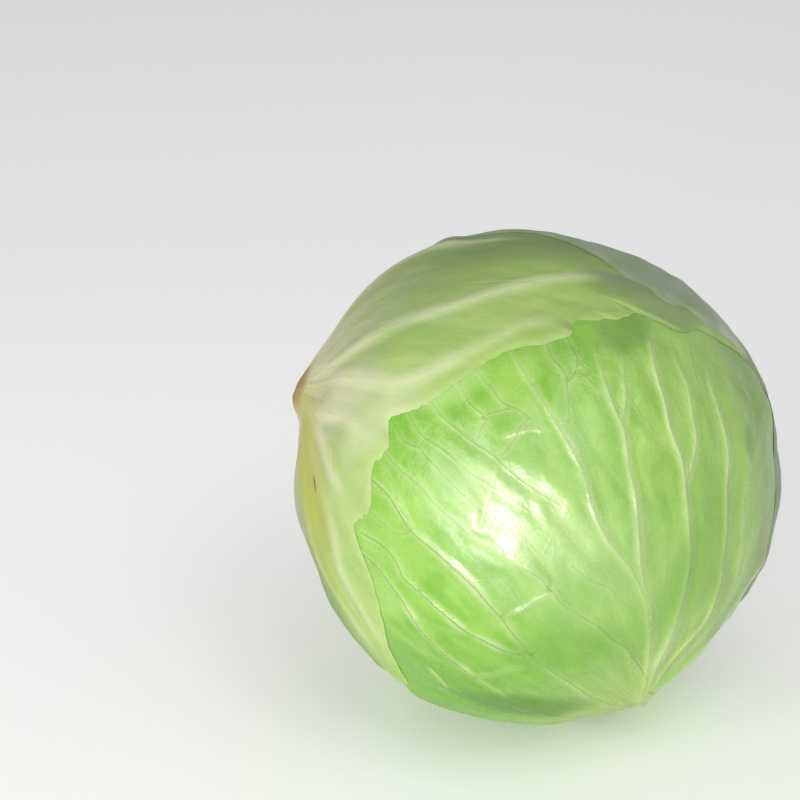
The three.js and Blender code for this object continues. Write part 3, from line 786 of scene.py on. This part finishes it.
def rib_tree():
    tree = bpy.data.node_groups.new("raise_ribs", "GeometryNodeTree")
    sockets = {
        "Leaf": "Geometry", "Ribs": "Object", "Midrib": "Object", "Veins": "Object",
        "Pillow height": "Float", "Pillow width": "Float", "Pucker height": "Float", "Finish": "Material",
    }
    for name, kind in sockets.items():
        tree.interface.new_socket(name, in_out="INPUT", socket_type="NodeSocket" + kind)
    tree.interface.new_socket("Leaf", in_out="OUTPUT", socket_type="NodeSocketGeometry")
    start = node(tree, "NodeGroupInput")
    leaf, ribs, midrib, veins, pillow, pillow_width, pucker, finish = outputs(start, *sockets)
    here = node(tree, "GeometryNodeInputPosition")

    def nearest(lines):
        """From the nearest of some lines: the distance and the side in mm, and the line's own facts."""
        shape = node(tree, "GeometryNodeObjectInfo", {}, {"Object": lines}, "Geometry")
        near = node(tree, "GeometryNodeProximity", {"target_element": "EDGES"}, {0: shape})
        spot, far = outputs(near, "Position", "Distance")
        index = node(tree, "GeometryNodeSampleNearest", {}, {"Geometry": shape, "Sample Position": spot})

        def fact(name, kind="FLOAT"):
            value = node(tree, "GeometryNodeInputNamedAttribute", {"data_type": kind}, {"Name": name})
            settings = {"data_type": kind, "domain": "POINT"}
            inputs = {"Geometry": shape, "Value": value, "Index": index}
            return node(tree, "GeometryNodeSampleIndex", settings, inputs)

        away = node(tree, "ShaderNodeVectorMath", {"operation": "SUBTRACT"}, {0: here, 1: spot})
        side = node(
            tree, "ShaderNodeVectorMath", {"operation": "DOT_PRODUCT"},
            {0: away, 1: fact("side", "FLOAT_VECTOR")}, "Value",
        )
        return far / MM, side / MM, fact("tall"), fact("broad"), fact("strong")

    rib_far, rib_side, rib_tall, rib_broad, rib_strong = nearest(ribs)
    mid_far, _, mid_tall, mid_broad, mid_strong = nearest(midrib)
    vein_far, vein_side, _, _, vein_strong = nearest(veins)
    rib = rib_far.bell(rib_broad)
    mid = mid_far.bell(mid_broad)
    bulge = (1 - vein_far.bell(pillow_width)) * (1 - rib) * pillow
    outward, fan = (
        node(tree, "GeometryNodeInputNamedAttribute", {"data_type": "FLOAT_VECTOR"}, {"Name": name})
        for name in ("outward", "fan")
    )
    puckers = (noise(tree, fan, 1, 2) - 0.5) * pucker * 2
    height = rib * rib_tall + mid * mid_tall + bulge + puckers * (1 - rib * 0.7)
    offset = node(tree, "ShaderNodeVectorMath", {"operation": "SCALE"}, {0: outward, "Scale": height * MM})
    shape = node(tree, "GeometryNodeSetPosition", {}, {"Geometry": leaf, "Offset": offset})
    kept = (rib * rib_strong, rib_side, rib_far, mid * mid_strong, vein_side, vein_far, vein_strong)
    settings = {"data_type": "FLOAT", "domain": "POINT"}
    for name, value in zip(KEPT_FACTS, kept):
        inputs = {"Geometry": shape, "Name": name, "Value": value}
        shape = node(tree, "GeometryNodeStoreNamedAttribute", settings, inputs)
    shape = node(tree, "GeometryNodeRealizeInstances", {}, {"Geometry": shape})
    shape = node(tree, "GeometryNodeSetMaterial", {}, {"Geometry": shape, "Material": finish})
    end = tree.nodes.new("NodeGroupOutput")
    tree.links.new(shape.socket, end.inputs[0])
    return tree


def grow(made, tree, values):
    """Runs a tree on an object and keeps the result as the object's own plain mesh."""
    modifier = made.modifiers.new("grow", "NODES")
    modifier.node_group = tree
    for item in tree.interface.items_tree:
        if item.in_out == "INPUT" and item.name in values:
            modifier[item.identifier] = values[item.name]
    made.update_tag()
    bpy.context.view_layer.update()
    evaluated = made.evaluated_get(bpy.context.evaluated_depsgraph_get())
    mesh = bpy.data.meshes.new_from_object(evaluated)
    made.modifiers.clear()
    made.data = mesh
    mesh.shade_smooth()
    mesh.set_sharp_from_angle(angle=math.radians(RIM_ANGLE))


# ---- finishes ----
def screen_colour(red, green, blue):
    """A colour from its usual 0 to 255 screen values."""
    def linear(value):
        value /= 255
        return value / 12.92 if value <= 0.04045 else ((value + 0.055) / 1.055) ** 2.4
    return (linear(red), linear(green), linear(blue), 1)


def blend(tree, factor, *shades):
    """Mixes two colours, each of them a wire or screen values."""
    first, second = (shade if isinstance(shade, Wire) else screen_colour(*shade) for shade in shades)
    return node(tree, "ShaderNodeMix", {"data_type": "RGBA"}, {0: factor, 6: first, 7: second}, 2)


def finish_tree(name):
    """A new finish, its tree, and places on the head in metres."""
    finish = bpy.data.materials.new(name)
    finish.use_nodes = True
    tree = finish.node_tree
    tree.nodes.clear()
    return finish, tree, node(tree, "ShaderNodeTexCoord", {}, {}, "Object")


def close_finish(tree, relief=None, **values):
    """Ends a finish with its shader. The relief is in mm, and each value goes to the socket it names."""
    inputs = {key.replace("_", " "): value for key, value in values.items()}
    if relief is not None:
        bump = {"Strength": 1, "Distance": MM, "Height": relief}
        inputs["Normal"] = node(tree, "ShaderNodeBump", {}, bump, "Normal")
    shader = node(tree, "ShaderNodeBsdfPrincipled", {}, inputs)
    end = tree.nodes.new("ShaderNodeOutputMaterial")
    tree.links.new(shader.socket, end.inputs["Surface"])


def noise(tree, place, scale, detail=3):
    return node(tree, "ShaderNodeTexNoise", {}, {"Vector": place, "Scale": scale, "Detail": detail})


def cracks(tree, place, scale, randomness=1):
    """The distance from the nearest seam of a random net."""
    inputs = {"Vector": place, "Scale": scale, "Randomness": randomness}
    return node(tree, "ShaderNodeTexVoronoi", {"feature": "DISTANCE_TO_EDGE"}, inputs, "Distance")


def attribute(tree, name, output="Fac"):
    return node(tree, "ShaderNodeAttribute", {"attribute_name": name}, {}, output)


def lens(across, along, x, y, bearing, length, breadth):
    """1 at a place of the leaf's plane and 0 well away from it, reaching further along a bearing."""
    c, s = math.cos(math.radians(bearing)), math.sin(math.radians(bearing))
    lengthways = ((across - x) * s + (along - y) * c) / length
    sideways = ((across - x) * c - (along - y) * s) / breadth
    return (lengthways**2 + sideways**2).step(1.3, 0.1)


def leaf_finish(name, look):
    finish, tree, place = finish_tree(name)
    plane = attribute(tree, "leaf_plane", "Vector")
    across, along = outputs(node(tree, "ShaderNodeSeparateXYZ", {}, {0: plane}), "X", "Y")
    rib, rib_side, rib_far, midrib, vein_side, vein_far, vein_strong, heel, margin, beyond = (
        attribute(tree, key)
        for key in (*KEPT_FACTS, "heel", "margin", "beyond")
    )
    streaks = noise(tree, attribute(tree, "fan", "Vector"), 1.5)
    broad = noise(tree, place, 24)
    patch = noise(tree, place, 85, 4)
    speck = noise(tree, place, 700, 2)
    net = cracks(tree, plane, 0.19, 0.9).step(0.085, 0.0)

    def paint(share, shade):
        """Lays a shade over the body colour, as thickly as the share says."""
        return blend(tree, share, body, look[shade] if isinstance(shade, str) else shade)

    # The leaf's flesh and its bloom, with painted shade towards the bottom of the leaf and just outside the
    # margins of the leaves that lie over it.
    mottle = broad * 0.3 + patch * 0.2 + streaks * 0.5
    body = blend(tree, mottle.step(0.36, 0.64), look["deep"], look["pale"])
    # Painted shade: the colour darkens towards the bottom of the leaf, where the head's underside lies in
    # shade.
    body = paint((along - across * 0.5).step(35, -15) * look["low"], "painted_bottom_shade")
    # Painted shade: the colour darkens to the deep green just outside the margin of each leaf that lies over
    # this one.
    body = paint(beyond.step(8, 0) * look["painted_margin_shade"], "deep")
    body = paint(net * 0.05, "rib")
    body = paint(vein_far.bell(1.5) * vein_strong * look["halo"], "rib")
    bloom = (broad * 0.5 + streaks * 0.5).step(0.35, 0.65) * look["bloom"]
    body = paint(bloom, "wax")
    for sideways, endways, first, last, share, shade in look["tints"]:
        tint = (across * sideways + along * endways).step(first, last) * (0.6 + 0.4 * streaks)
        body = paint(tint * share, shade)

    # Its ribs, heel and veins.
    band = (rib ** look["band_power"] * (0.7 + 0.5 * patch)).step(0.05, 1.0)
    body = paint(band * look["band"], "rib")
    near_heel = heel.bell(look["heel_reach"]) * (0.5 + 0.8 * streaks)
    tinge = blend(tree, streaks.step(0.45, 0.62), look["heel"], look["heel_streak"])
    body = paint(near_heel * look["heel_share"], tinge)
    body = paint((midrib * 1.3).step(0.1, 1.0) * 0.8, "rib")
    fine = vein_side.size() + speck * 0.1 - vein_strong * 0.25
    line = fine.step(0.24, -0.1) * vein_far.step(1.2, 0.6) * vein_strong
    body = paint(line * look["line"], "vein")
    on_rib = rib_far.step(2.2, 1.2) * rib
    core = (rib_side.size() + patch * 0.3).step(0.55, 0.25) * on_rib
    body = paint(core * look["core"], "vein")

    # Its margin, specks and marks; some marks of the bright leaf are painted shade or painted highlight.
    body = paint(margin.step(look["edge_width"], 0.0) * look["edge"], "edge_colour")
    body = paint(heel.bell(look["tip_reach"]) * look["tip"], "heel_tip")
    body = paint(speck.step(0.5, 0.75) * 0.08, "pale")
    for where, share, shade in look["marks"]:
        body = paint(lens(across, along, *where) * share, shade)

    rib_crest = rib_side.bell(0.8) * on_rib * 0.35
    vein_crest = vein_side.bell(0.5) * vein_far.step(1.6, 0.8) * vein_strong * 0.12
    crest = (rib_crest + vein_crest) * look["crest"]
    least, most = look["coat"]
    close_finish(
        tree, patch * look["pucker"] + streaks * 0.4 + net * 0.03 + crest + speck * 0.012,
        Base_Color=body,
        Roughness=look["rough"] + patch * look["rough_change"] + speck * 0.08 + bloom * 0.25,
        Coat_Weight=most if least == most else lens(across, along, *look["polish"]) * (most - least) + least,
        Coat_Roughness=look["coat_rough"], Coat_IOR=1.8, IOR=1.5, Specular_IOR_Level=look["specular"],
    )
    return finish


# The looks of the leaves, with colours as screen values. Where something has a place, that is (across,
# along) in mm on the leaf's plane.
# tints: (share of across, share of along, where it starts, where it is full, strength, colour).
# polish and marks: a lens is (across, along, bearing, length, breadth), and a mark (lens, strength, colour).
BRIGHT = {
    # The third colour here is the painted shade towards the bottom of the leaf.
    "deep": (114, 169, 42), "pale": (148, 194, 78), "painted_bottom_shade": (92, 150, 22), "wax": (132, 162, 96),
    "rib": (192, 213, 148), "vein": (98, 132, 32), "edge_colour": (180, 204, 120),
    "heel": (172, 184, 106), "heel_streak": (166, 184, 92), "heel_tip": (190, 186, 150),
    # The first two numbers here are how strongly the painted shade shows towards the bottom and just outside
    # the margins of covering leaves.
    "low": 0.75, "painted_margin_shade": 0.5, "bloom": 0.08, "halo": 0.4, "band": 0.85, "band_power": 0.8,
    "line": 0.7, "core": 0.4, "edge": 0.4, "edge_width": 1.2,
    "heel_reach": 30, "heel_share": 0.6, "tip_reach": 6, "tip": 0.7,
    "rough": 0.17, "rough_change": 0.12, "pucker": 0.9, "crest": 1.0,
    "coat": (0.02, 1.0), "polish": (-50, 46, 104, 50, 44), "coat_rough": 0.42, "specular": 0.7,
    "tints": [(1, 0, -45, 10, 0.5, (172, 204, 118)), (1, 0, 28, 60, 0.75, (116, 150, 74))],
    "marks": [
        # Painted shade: the two marks on the next line darken the band under the margin of the left leaf.
        ((-22, 125, 63, 20, 9), 0.55, (92, 138, 48)), ((-50, 111, 63, 18, 6), 0.35, (106, 158, 52)),
        ((-118, 52, 0, 6, 6), 0.55, (100, 172, 30)), ((-103, 77, 46, 26, 9), 0.45, (186, 220, 138)),
        # Painted shade: the first mark on the next line darkens part of the leaf's lower right.
        ((14, 44, 20, 32, 15), 0.6, (112, 162, 56)), ((-43, 15, 100, 17, 9), 0.3, (106, 164, 44)),
        ((-67, 64, 40, 13, 8), 0.4, (116, 170, 56)), ((-32, 25, 8, 24, 8), 0.4, (106, 164, 38)),
        # Painted highlight: the second mark on the next line is a pale haze beside the main highlight.
        ((29, 34, -25, 15, 8), 0.4, (116, 154, 60)), ((-66, 33, 100, 16, 8), 0.35, (200, 230, 156)),
        # Painted shade: the second mark on the next line darkens the leaf's bottom edge.
        ((-28, 2, 60, 22, 10), 0.4, (94, 148, 26)), ((-23, -35, 68, 28, 10), 0.8, (72, 122, 20)),
        ((15, -14, 0, 16, 13), 0.4, (140, 176, 62)), ((-96, 8, 90, 17, 9), 0.35, (118, 172, 46)),
        ((-91, -22, 90, 13, 8), 0.3, (178, 214, 122)), ((-20, 4, 70, 36, 16), 0.35, (96, 152, 30)),
        # On the next line, the first mark is a painted highlight, a pale haze over the main highlight, and
        # the second is painted shade on the leaf's lower right.
        ((-52, 47, 100, 34, 16), 0.2, (205, 222, 165)), ((-6, 42, 20, 44, 24), 0.35, (108, 158, 46)),
        ((53, 38, 0, 20, 6), 0.45, (150, 138, 104)), ((41, 84, 0, 8, 5), 0.5, (100, 142, 56)),
    ],
}
BLOOMED = dict(
    BRIGHT, deep=(140, 174, 86), pale=(161, 191, 106), wax=(112, 134, 92), rib=(199, 206, 162),
    vein=(140, 152, 96), edge_colour=(190, 200, 150),
    heel=(198, 193, 166), heel_streak=(184, 186, 128), heel_tip=(152, 102, 62),
    low=0, painted_margin_shade=0.1, bloom=0.1, halo=0.3, line=0.25, core=0.0, edge=0.3, edge_width=2.0,
    heel_reach=55, heel_share=1.0, tip_reach=8, tip=1.0,
    rough=0.42, pucker=0.6, crest=0.2, coat=(0.06, 0.06), coat_rough=0.25, specular=0.3,
    tints=[(0.84, 0.54, 50, 12, 0.95, (96, 124, 62))],
    marks=[
        ((-1, 106, -21, 12, 8), 0.6, (112, 136, 84)), ((0, 128, -4, 20, 15), 0.75, (132, 154, 102)),
        ((-12, 116, -15, 26, 9), 0.8, (124, 142, 106)), ((40, 62, -30, 22, 8), 0.35, (146, 178, 84)),
        ((52, 15, -8, 24, 10), 0.3, (214, 212, 184)), ((35, 0, 20, 18, 9), 0.45, (210, 208, 176)),
        ((27, 31, 22, 22, 9), 0.45, (134, 170, 80)), ((3, -30, 0, 8, 9), 0.8, (132, 84, 52)),
        ((38, -34, 96, 38, 15), 0.75, (160, 164, 44)), ((62, -50, 112, 30, 12), 0.65, (160, 174, 60)),
        ((50, -31.5, 116, 3.6, 0.7), 0.95, (58, 52, 22)),
    ],
)
GREY = dict(
    BLOOMED, deep=(134, 154, 108), pale=(150, 168, 132), wax=(154, 162, 146), rib=(160, 172, 140),
    edge_colour=(150, 122, 96), bloom=0.7, edge_width=1.4, heel_reach=30, rough=0.5, coat=(0.02, 0.02),
    tints=[],
    marks=[((-30, 90, 110, 24, 11), 0.6, (184, 186, 176))],
)
INNER = dict(
    BRIGHT, deep=(122, 184, 24), pale=(162, 212, 60), low=0, bloom=0.0, coat=(0.4, 0.4), tints=[], marks=[],
)
LOOKS = {"bright_leaf": BRIGHT, "bloomed_leaf": BLOOMED, "grey_leaf": GREY, "inner_leaf": INNER}


def heart_finish():
    finish, tree, place = finish_tree("pale_heart")
    patch, fine = noise(tree, place, 60, 4), noise(tree, place, 300)
    folds = cracks(tree, place, 45)
    body = blend(tree, patch.step(0.3, 0.7), (222, 230, 170), (200, 216, 140))
    body = blend(tree, folds.step(0.06, 0) * 0.5, body, (238, 240, 206))
    close_finish(
        tree, patch * 0.6 + folds.step(0.1, 0) * 0.3 + fine * 0.1,
        Base_Color=body, Roughness=0.42 + fine * 0.2, Specular_IOR_Level=0.5,
    )
    return finish


def stalk_finish():
    """A cut face: pale pith, a ring of vessels and a thin green rind, drying to brown at the rim."""
    finish, tree, place = finish_tree("cut_stalk")
    turn = Vector((0, 0, 1)).rotation_difference(Vector(STALK_AXIS)).to_euler()
    stub = {"Vector": place, "Location": head_centre, "Rotation": turn, "Scale": (MM, MM, MM)}
    upright = node(tree, "ShaderNodeMapping", {"vector_type": "TEXTURE"}, stub)
    parts = node(tree, "ShaderNodeSeparateXYZ", {}, {0: upright})
    x, y, depth = outputs(parts, "X", "Y", "Z")
    patch, fine = noise(tree, upright, 0.16, 4), noise(tree, upright, 1.6, 4)
    from_axis = ((x**2 + y**2) ** 0.5) + patch * 1.6 - 0.8
    dots = {"Vector": upright, "Scale": 0.75}
    spots = node(tree, "ShaderNodeTexVoronoi", {"feature": "F1"}, dots, "Distance")
    vessels = from_axis.step(7.0, 8.0) * from_axis.step(10.2, 9.4) * spots.step(0.5, 0.2)
    on_face = depth.step(STALK_END - 2.2, STALK_END - 1.0)
    face = blend(tree, patch.step(0.3, 0.7), (232, 226, 188), (212, 206, 158))
    face = blend(tree, vessels, face, (166, 166, 104))
    face = blend(tree, from_axis.step(10.6, 12.2), face, (150, 132, 84))
    skin = blend(tree, fine.step(0.3, 0.7), (196, 206, 150), (160, 172, 108))
    body = blend(tree, on_face, skin, face)
    body = blend(tree, fine.step(0.55, 0.8) * 0.35, body, (158, 138, 96))
    close_finish(
        tree, fine * 0.35 + patch * 0.4 - vessels * 0.2,
        Base_Color=body, Roughness=0.55 + patch * 0.25, Specular_IOR_Level=0.4,
    )
    return finish


# ---- the cut stalk ----
def stalk_piece():
    """A stub with shallow flutes where leaves grew out of it, and a slightly uneven cut face."""
    around, face_rings, wall_rings = 192, 40, 14
    turn = np.linspace(0, 2 * math.pi, around, endpoint=False)
    middle_height = STALK_END - 0.15
    # Each wave: its height, how many times it comes round the stalk, and where it starts.
    flute_waves = [(0.35, 5, 0.6), (0.2, 11, 0), (0.12, 23, 1)]
    flute = sum(height * np.sin(times * turn + start) for height, times, start in flute_waves)
    foot = float(heart_radius(STALK_AXIS[None])[0]) + 0.5
    rows = []
    for k in range(1, face_rings + 1):
        reach = (STALK_RADIUS + flute - 0.7) * k / face_rings
        knife = 0.18 * np.sin(reach * np.cos(turn) * 1.9 + 0.3)
        knife += 0.1 * np.sin(reach * np.sin(turn + 0.4) * 3.1)
        rows.append((reach, middle_height + knife - 0.5 * (k / face_rings) ** 8))
    for k in range(1, wall_rings + 1):
        share = k / wall_rings
        reach = STALK_RADIUS + flute * (1 + share) - 0.7 * (1 - smooth_step(share * 6)) + 0.4 * share
        rows.append((reach, STALK_END - 0.7 - (STALK_END - 1.2 - foot) * share))
    rows.append((STALK_RADIUS - 1, foot))
    points = [np.array([[0, 0, middle_height]])]
    for reach, height in rows:
        ring = np.broadcast_arrays(reach * np.cos(turn), reach * np.sin(turn), height)
        points.append(np.stack(ring, 1))
    points = np.vstack([*points, [[0, 0, foot]]])
    k = np.arange(around)
    after = (k + 1) % around
    faces = np.stack([0 * k, 1 + k, 1 + after], 1).tolist()
    for row in range(len(rows) - 1):
        low, high = 1 + row * around, 1 + (row + 1) * around
        faces += np.stack([low + k, high + k, high + after, low + after], 1).tolist()
    last = 1 + (len(rows) - 1) * around
    faces += np.stack([last + k, 0 * k + len(points) - 1, last + after], 1).tolist()
    upright = Vector((0, 0, 1)).rotation_difference(Vector(STALK_AXIS)).to_matrix()
    points = points @ np.array(upright).T - DOWN * REST_HEIGHT
    made = mesh_object("cut_stalk", points * MM, [], faces)
    made.data.shade_smooth()
    return made


# ---- the head ----
def flatten_at_floor(piece):
    """Presses what would reach below the floor up to just above it."""
    spots = np.empty(len(piece.data.vertices) * 3)
    piece.data.vertices.foreach_get("co", spots)
    spots[2::3] = np.maximum(spots[2::3], FLOOR_GAP * MM)
    piece.data.vertices.foreach_set("co", spots)
    piece.data.update()


def dress_leaf(index, tree, finish):
    """Makes one leaf: its shell, then the ribs and veins that its tree grows on it."""
    facts, leaf = LEAVES[index], leaves[index]
    draw = np.random.default_rng(SEED + index)
    made = shell(index)
    veins = [(line, 0, 1, strong) for line, strong in vein_lines(leaf, draw)]
    helpers = {
        "Ribs": line_object(index, "ribs", list(rib_rows(leaf))),
        "Midrib": line_object(index, "midrib", [midrib_row(leaf)]),
        "Veins": line_object(index, "veins", veins),
    }
    sizes = {"Pillow height": PILLOW, "Pillow width": PILLOW_WIDTH, "Pucker height": facts["pucker"]}
    grow(made, tree, {**helpers, **sizes, "Finish": finish})
    for helper in helpers.values():
        bpy.data.objects.remove(helper)
    flatten_at_floor(made)
    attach(made, "root")
    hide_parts(facts["node"])


def heart_piece():
    """The tight folded leaves inside: a ball that fills the innermost wrapper leaves."""
    ball = bmesh.new()
    bmesh.ops.create_icosphere(ball, subdivisions=HEART_SPLITS, radius=1)
    dirs = np.array([spot.co for spot in ball.verts])
    faces = [[corner.index for corner in face.verts] for face in ball.faces]
    ball.free()
    dirs /= np.linalg.norm(dirs, axis=1)[:, None]
    made = mesh_object("tight_heart", place(dirs, heart_radius(dirs)), [], faces)
    made.data.shade_smooth()
    return made


def make_head():
    tree = rib_tree()
    finishes = {slot: leaf_finish(slot, look) for slot, look in LOOKS.items()}
    for index, facts in enumerate(LEAVES):
        dress_leaf(index, tree, finishes[facts["slot"]])
    stalk = stalk_piece()
    stalk.data.materials.append(stalk_finish())
    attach(stalk, "root")
    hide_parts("stalk")
    heart = heart_piece()
    heart.data.materials.append(heart_finish())
    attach(heart, "root")
    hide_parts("heart")


make_head()


# ---- floor and light ----
FLOOR_HALF = 30  # metres
FLOOR_GLOW = 0.12
WORLD_COLOUR = (0.98, 0.99, 1, 1)
WORLD_STRENGTH = 0.56
# Each lamp: name, where it stands as seen from the head, its distance and breadth in metres, its power in
# watts and its colour.
LAMPS = [
    ("key", (-0.248, -0.965, 0.071), 1.4, 0.42, 9, (1, 0.98, 0.93)),
    ("side", (-0.64, -0.7, 0.32), 1.5, 1.0, 6, (1, 0.99, 0.97)),
    ("front", (0.38, -0.5, 0.78), 1.5, 1.0, 4, (1, 0.99, 0.97)),
]


def make_floor():
    corners = np.array([(-1, -1, 0), (1, -1, 0), (1, 1, 0), (-1, 1, 0)]) * float(FLOOR_HALF)
    floor = mesh_object("floor", corners, [], [(0, 1, 2, 3)])
    finish, tree, place = finish_tree("floor")
    close_finish(
        tree, Base_Color=blend(tree, noise(tree, place, 2), (248, 248, 247), (250, 250, 250)), Roughness=0.9,
        Specular_IOR_Level=0.1, Emission_Color=(1, 1, 1, 1), Emission_Strength=FLOOR_GLOW,
    )
    floor.data.materials.append(finish)


def make_lamp(name, towards, distance, size, power, shade):
    lamp = bpy.data.objects.new(name, bpy.data.lights.new(name, "AREA"))
    lamp.data.shape = "DISK"
    lamp.data.size = size
    lamp.data.energy = power
    lamp.data.color = shade
    lamp.location = head_centre + Vector(towards).normalized() * distance
    lamp.rotation_euler = (lamp.location - head_centre).to_track_quat("Z", "Y").to_euler()
    lamp.visible_camera = False
    bpy.context.scene.collection.objects.link(lamp)


def make_light():
    world = bpy.data.worlds.new("studio")
    world.use_nodes = True
    sky = world.node_tree.nodes["Background"]
    sky.inputs["Color"].default_value = WORLD_COLOUR
    sky.inputs["Strength"].default_value = WORLD_STRENGTH
    bpy.context.scene.world = world
    for lamp in LAMPS:
        make_lamp(*lamp)
    bpy.context.scene.view_settings.view_transform = "Standard"


make_floor()
make_light()
